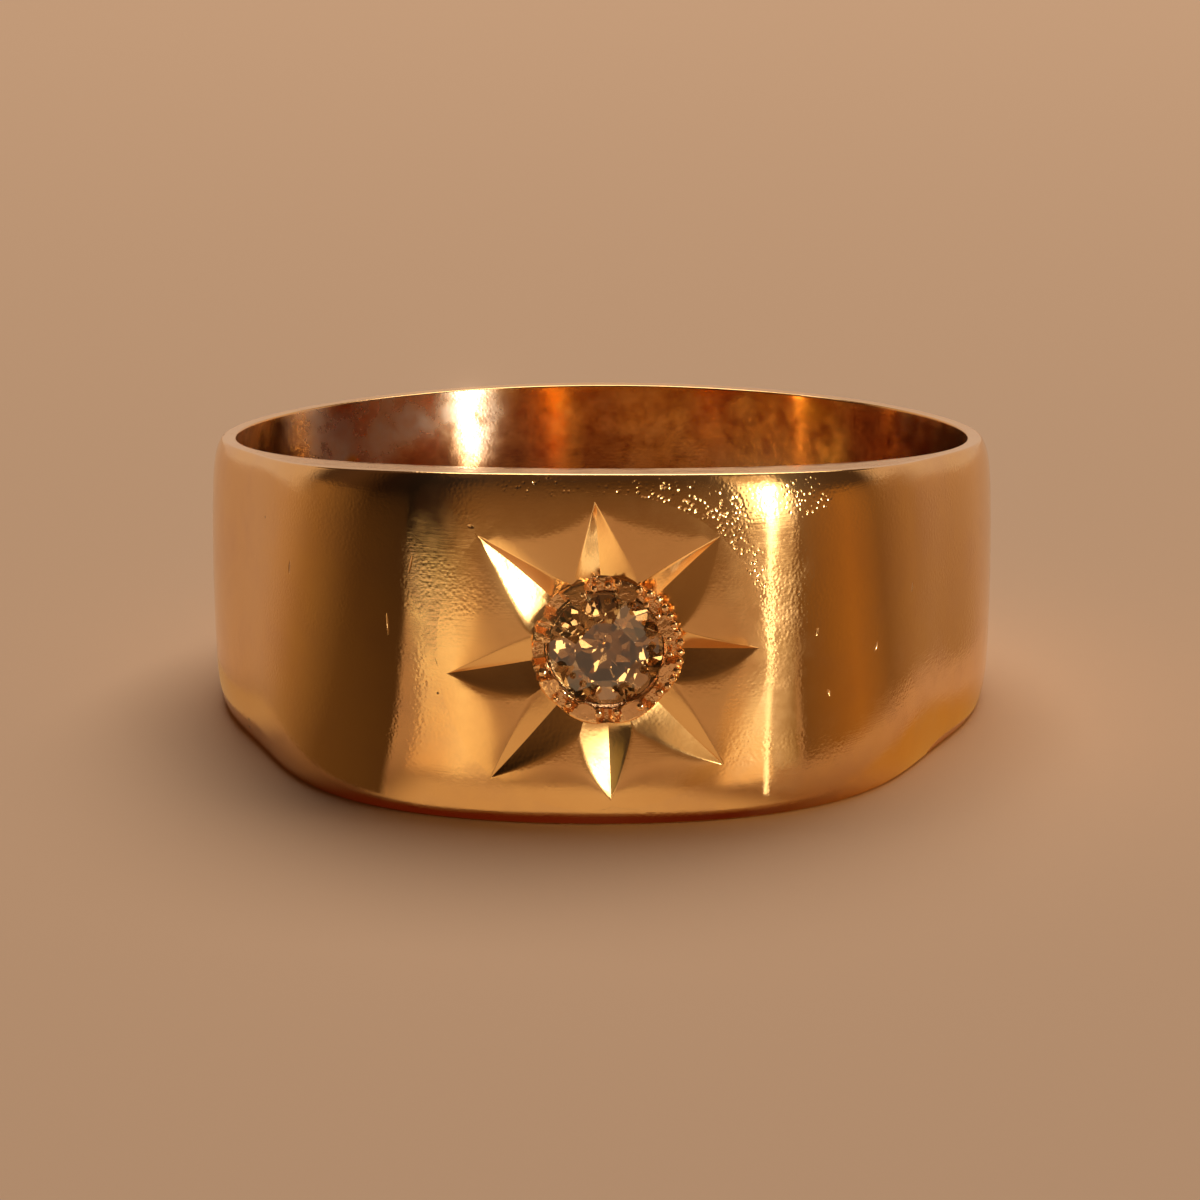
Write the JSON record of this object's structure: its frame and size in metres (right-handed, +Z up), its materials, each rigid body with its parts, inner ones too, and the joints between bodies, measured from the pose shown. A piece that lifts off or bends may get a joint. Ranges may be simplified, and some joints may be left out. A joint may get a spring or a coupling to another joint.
{
  "type": "cigar band ring",
  "caption": "Wide gold band ring that narrows to the back, with one old-cut diamond sunk in an engraved eight-ray star.",
  "frame": {"origin": "centre of the ring's outline on the surface it lies on, under the finger hole", "axes": "+Z up, within 3 degrees of the finger hole's axis; -Y towards the stone at the front; +X to the right as the stone is looked at"},
  "size_m": [0.0202, 0.0222, 0.0082],
  "materials": {
    "gold": "worn polished yellow gold with fine scratches",
    "diamond": "old hand-cut facets, faint champagne tint"
  },
  "bodies": {
    "root": {"band": "gold", "diamond": "diamond"}
  },
  "joints": []
}
